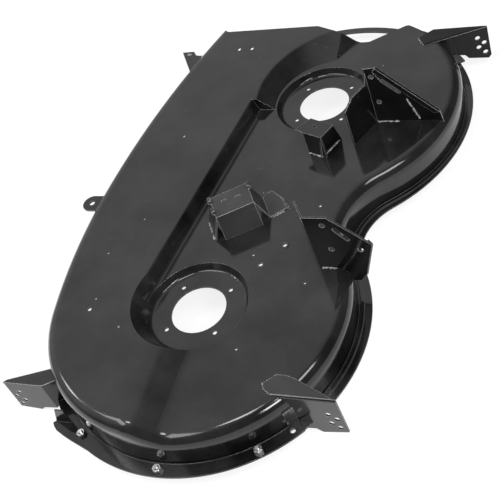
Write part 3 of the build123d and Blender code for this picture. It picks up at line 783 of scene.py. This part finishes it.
@dataclass(frozen=True)
class BoltProfile:
    """Outline of a skirt bolt, head down, in millimetres."""

    tip: float = -35.2
    thread_end: float = -41.0
    seat: float = -50.0
    head: float = -55.3
    pitch: float = 1.25
    tip_radius: float = 3.1
    tip_chamfer: float = 0.75
    thread_start: float = 0.9
    root_radius: float = 3.35
    crest_radius: float = 3.88
    shank_radius: float = 3.85
    head_radius: float = 7.6
    head_face_radius: float = 6.0
    head_chamfer: float = 0.9

    def rings(self) -> list[Ring]:
        """Lists the rings from the tip down to the head.

        Returns:
            Radius and height of each ring.
        """
        rings = [
            (0.0, self.tip), (self.tip_radius, self.tip),
            (self.shank_radius, self.tip - self.tip_chamfer)]
        height = self.tip - self.thread_start
        while height > self.thread_end:
            rings += [(self.root_radius, height), (self.crest_radius, height - self.pitch / 2)]
            height -= self.pitch
        rings += [
            (self.shank_radius, self.thread_end - self.pitch), (self.shank_radius, self.seat),
            (self.head_radius, self.seat), (self.head_radius, self.head + self.head_chamfer),
            (self.head_face_radius, self.head), (0.0, self.head)]
        return rings


@dataclass(frozen=True)
class NutProfile:
    """Outline of a skirt nut, in millimetres."""

    top: float = -38.2
    seat: float = -45.0
    bore_radius: float = 4.0
    mouth_radius: float = 4.4
    top_chamfer: float = 0.4
    seat_chamfer: float = 0.3
    crown_radius: float = 5.9
    crown_drop: float = 1.0
    outer_radius: float = 7.6
    foot_radius: float = 6.4
    foot_lift: float = 0.4

    def rings(self) -> list[Ring]:
        """Lists the rings up the bore, down the outside and back to the bore.

        Returns:
            Radius and height of each ring.
        """
        bore_foot = (self.bore_radius, self.seat + self.seat_chamfer)
        return [
            bore_foot, (self.bore_radius, self.top - self.top_chamfer), (self.mouth_radius, self.top),
            (self.crown_radius, self.top), (self.outer_radius, self.top - self.crown_drop),
            (self.outer_radius, self.seat + self.foot_lift), (self.foot_radius, self.seat),
            (self.mouth_radius, self.seat), bore_foot]


@dataclass
class Fasteners:
    """Three nuts or bolts of the skirt strip, in place of their CAD node."""

    node: str
    label: str
    profile: BoltProfile | NutProfile
    seed: int
    bearings_deg: tuple[float, ...] = (146.7, 181.5, 216.0)
    circle_mm: float = 261.0
    flats_mm: float = 12.7
    crisp_deg: float = 28.0

    def build(self, tree: bpy.types.NodeTree, finish: bpy.types.Material) -> bpy.types.Object:
        """Builds the set.

        Args:
            tree: the fastener set tree.
            finish: the plated finish.

        Returns:
            The finished piece.
        """
        pattern = turned_piece(self.label + "_pattern", self.profile.rings(), self.flats_mm)
        turns = [radians(bearing) for bearing in self.bearings_deg]
        spots = [[(self.circle_mm * cos(turn), self.circle_mm * sin(turn), 0.0)] for turn in turns]
        piece = line_mesh(self.label, spots)
        add_tree_modifier(piece, tree, {"Fastener": pattern, "Seed": self.seed, "Material": finish})
        settle(piece)
        bpy.data.objects.remove(pattern)
        smooth_shade(piece, self.crisp_deg)
        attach(piece, "root")
        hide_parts(self.node)
        return piece


FASTENERS = (
    Fasteners("skirt_nuts", "strip_nuts", NutProfile(), 3),
    Fasteners("skirt_bolts", "strip_bolts", BoltProfile(), 8),
)


# The setting


@dataclass(frozen=True)
class Softbox:
    """Soft rectangular lamp, with places and sizes in metres."""

    name: str
    place: Point
    target: Point
    size: tuple[float, float]
    watts: float

    def hang(self) -> None:
        """Hangs the lamp and points it at its target."""
        data = bpy.data.lights.new(self.name, "AREA")
        data.shape = "RECTANGLE"
        data.size, data.size_y = self.size
        data.energy = self.watts
        lamp = bpy.data.objects.new(self.name, data)
        bpy.context.scene.collection.objects.link(lamp)
        lamp.location = self.place
        lamp.rotation_euler = (Vector(self.target) - Vector(self.place)).to_track_quat("-Z", "Y").to_euler()


SOFTBOXES = (
    Softbox("near_softbox", (-0.2, -1.25, 1.75), (0.2, -0.1, 0.0), (0.9, 0.5), 17.0),
    Softbox("front_softbox", (0.1, 1.9, 1.5), (0.2, 0.0, 0.0), (0.45, 0.28), 5.0),
    Softbox("high_softbox", (-0.6, 0.85, 1.75), (0.1, 0.0, 0.0), (1.5, 0.7), 20.0),
    Softbox("top_softbox", (-0.3, -0.05, 2.1), (0.1, 0.0, 0.0), (0.5, 0.4), 9.5),
    Softbox("side_softbox", (-0.88, -1.27, 1.29), (0.1, -0.1, 0.0), (0.5, 0.4), 16.0),
)


@dataclass
class Studio:
    """Pale floor, soft light and the photograph's camera, in metres.

    The gloss mirrors a surround that is bright towards one side and dark at the horizon. The camera sees
    it white.
    """

    floor_z: float = -0.0727
    floor_centre_x: float = 0.2
    floor_size: float = 14.0
    floor_tone: Colour = grey(0.24)
    floor_level: float = 0.84
    floor_mirror_level: float = 1.0
    surround_level: float = 0.22
    surround_mirror_level: float = 1.0
    horizon_level: float = 0.15
    bright_side: Point = (0.25, 0.55, 0.797)
    dark_beyond: float = 0.42
    bright_within: float = 0.88
    eye: Point = (-0.84875, -0.72446, 1.16814)
    eye_turn_deg: Point = (42.77442, 17.01616, -72.88147)
    lens_mm: float = 73.0
    film_mm: float = 36.0

    def place_camera(self) -> None:
        """Stands the camera where the photograph was taken from."""
        data = bpy.data.cameras.new("camera")
        data.sensor_width = self.film_mm
        data.lens = self.lens_mm
        camera = bpy.data.objects.new("camera", data)
        bpy.context.scene.collection.objects.link(camera)
        camera.location = self.eye
        camera.rotation_euler = [radians(turn) for turn in self.eye_turn_deg]
        bpy.context.scene.camera = camera

    def lay_floor(self) -> None:
        """Lays a plain pale floor that keeps a soft shadow of the deck."""
        bpy.ops.mesh.primitive_plane_add(
            size=self.floor_size, location=(self.floor_centre_x, 0.0, self.floor_z))
        floor = bpy.context.object
        floor.name = "studio_floor"
        material = bpy.data.materials.new("pale_floor")
        material.use_nodes = True
        nodes = material.node_tree.nodes
        nodes.remove(nodes["Principled BSDF"])
        wrap = NodeTree(material.node_tree)
        shade = wrap.add("ShaderNodeBsdfDiffuse", {"Color": self.floor_tone})
        glow = wrap.add("ShaderNodeEmission")
        rays = wrap.add("ShaderNodeLightPath")
        level = wrap.add(
            "ShaderNodeMapRange", {"To Min": self.floor_level, "To Max": self.floor_mirror_level})
        both = wrap.add("ShaderNodeAddShader")
        wrap.join(rays.outputs["Is Glossy Ray"], level.inputs["Value"])
        wrap.join(level.outputs["Result"], glow.inputs["Strength"])
        wrap.join(shade.outputs["BSDF"], both.inputs[0])
        wrap.join(glow.outputs["Emission"], both.inputs[1])
        wrap.join(both.outputs["Shader"], nodes["Material Output"].inputs["Surface"])
        floor.data.materials.append(material)

    def light(self) -> None:
        """Lights the deck softly from above and shows a white surround."""
        world = bpy.data.worlds.new("white_surround")
        world.use_nodes = True
        bpy.context.scene.world = world
        wrap = NodeTree(world.node_tree)
        backing = world.node_tree.nodes["Background"]
        backing.inputs["Color"].default_value = grey(1.0)
        rays = wrap.add("ShaderNodeLightPath")
        level = wrap.add(
            "ShaderNodeMapRange", {"To Min": self.surround_level, "To Max": self.surround_mirror_level})
        wrap.join(rays.outputs["Is Glossy Ray"], level.inputs["Value"])
        where = wrap.add("ShaderNodeTexCoord")
        toward = wrap.add("ShaderNodeVectorMath", {1: self.bright_side}, operation="DOT_PRODUCT")
        wrap.join(where.outputs["Generated"], toward.inputs[0])
        sky = wrap.add(
            "ShaderNodeMapRange",
            {
                "From Min": self.dark_beyond, "From Max": self.bright_within,
                "To Min": self.horizon_level, "To Max": 1.0,
            },
            interpolation_type="SMOOTHSTEP")
        wrap.join(toward.outputs["Value"], sky.inputs["Value"])
        graded = wrap.add("ShaderNodeMath", operation="MULTIPLY")
        wrap.join(level.outputs["Result"], graded.inputs[0])
        wrap.join(sky.outputs["Result"], graded.inputs[1])
        shown = wrap.add("ShaderNodeMath", operation="MAXIMUM")
        wrap.join(graded.outputs[0], shown.inputs[0])
        wrap.join(rays.outputs["Is Camera Ray"], shown.inputs[1])
        wrap.join(shown.outputs[0], backing.inputs["Strength"])
        for softbox in SOFTBOXES:
            softbox.hang()
        bpy.context.scene.view_settings.view_transform = "Standard"

    def build(self) -> None:
        """Sets up the camera, the floor and the light."""
        self.place_camera()
        self.lay_floor()
        self.light()


def report(piece: bpy.types.Object) -> None:
    """Logs a finished piece and its number of faces."""
    LOG.info("%s: %d faces", piece.name, len(piece.data.polygons))


def main() -> None:
    """Builds the dressed deck piece by piece and reports each one."""
    logging.basicConfig(level=logging.INFO, format="%(name)s: %(message)s")
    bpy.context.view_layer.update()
    effects = Effects(gloss_skin_group(), scuff_group(), edge_highlight_group())
    finishes = {coat: coat.value.build(effects) for coat in Coat}
    zinc = PlatedSteel("bright_zinc").build(effects)
    for sheet in SHEET_WORK:
        report(sheet.build(finishes))
    report(ChannelFlank("channel_end_flank").build(finishes))
    beads = weld_group()
    for welds in WELD_SETS:
        report(welds.build(beads, finishes[Coat.WELD]))
    sets = fastener_group()
    for fasteners in FASTENERS:
        report(fasteners.build(sets, zinc))
    Studio().build()
    bpy.context.view_layer.update()


if __name__ == "__main__":
    main()
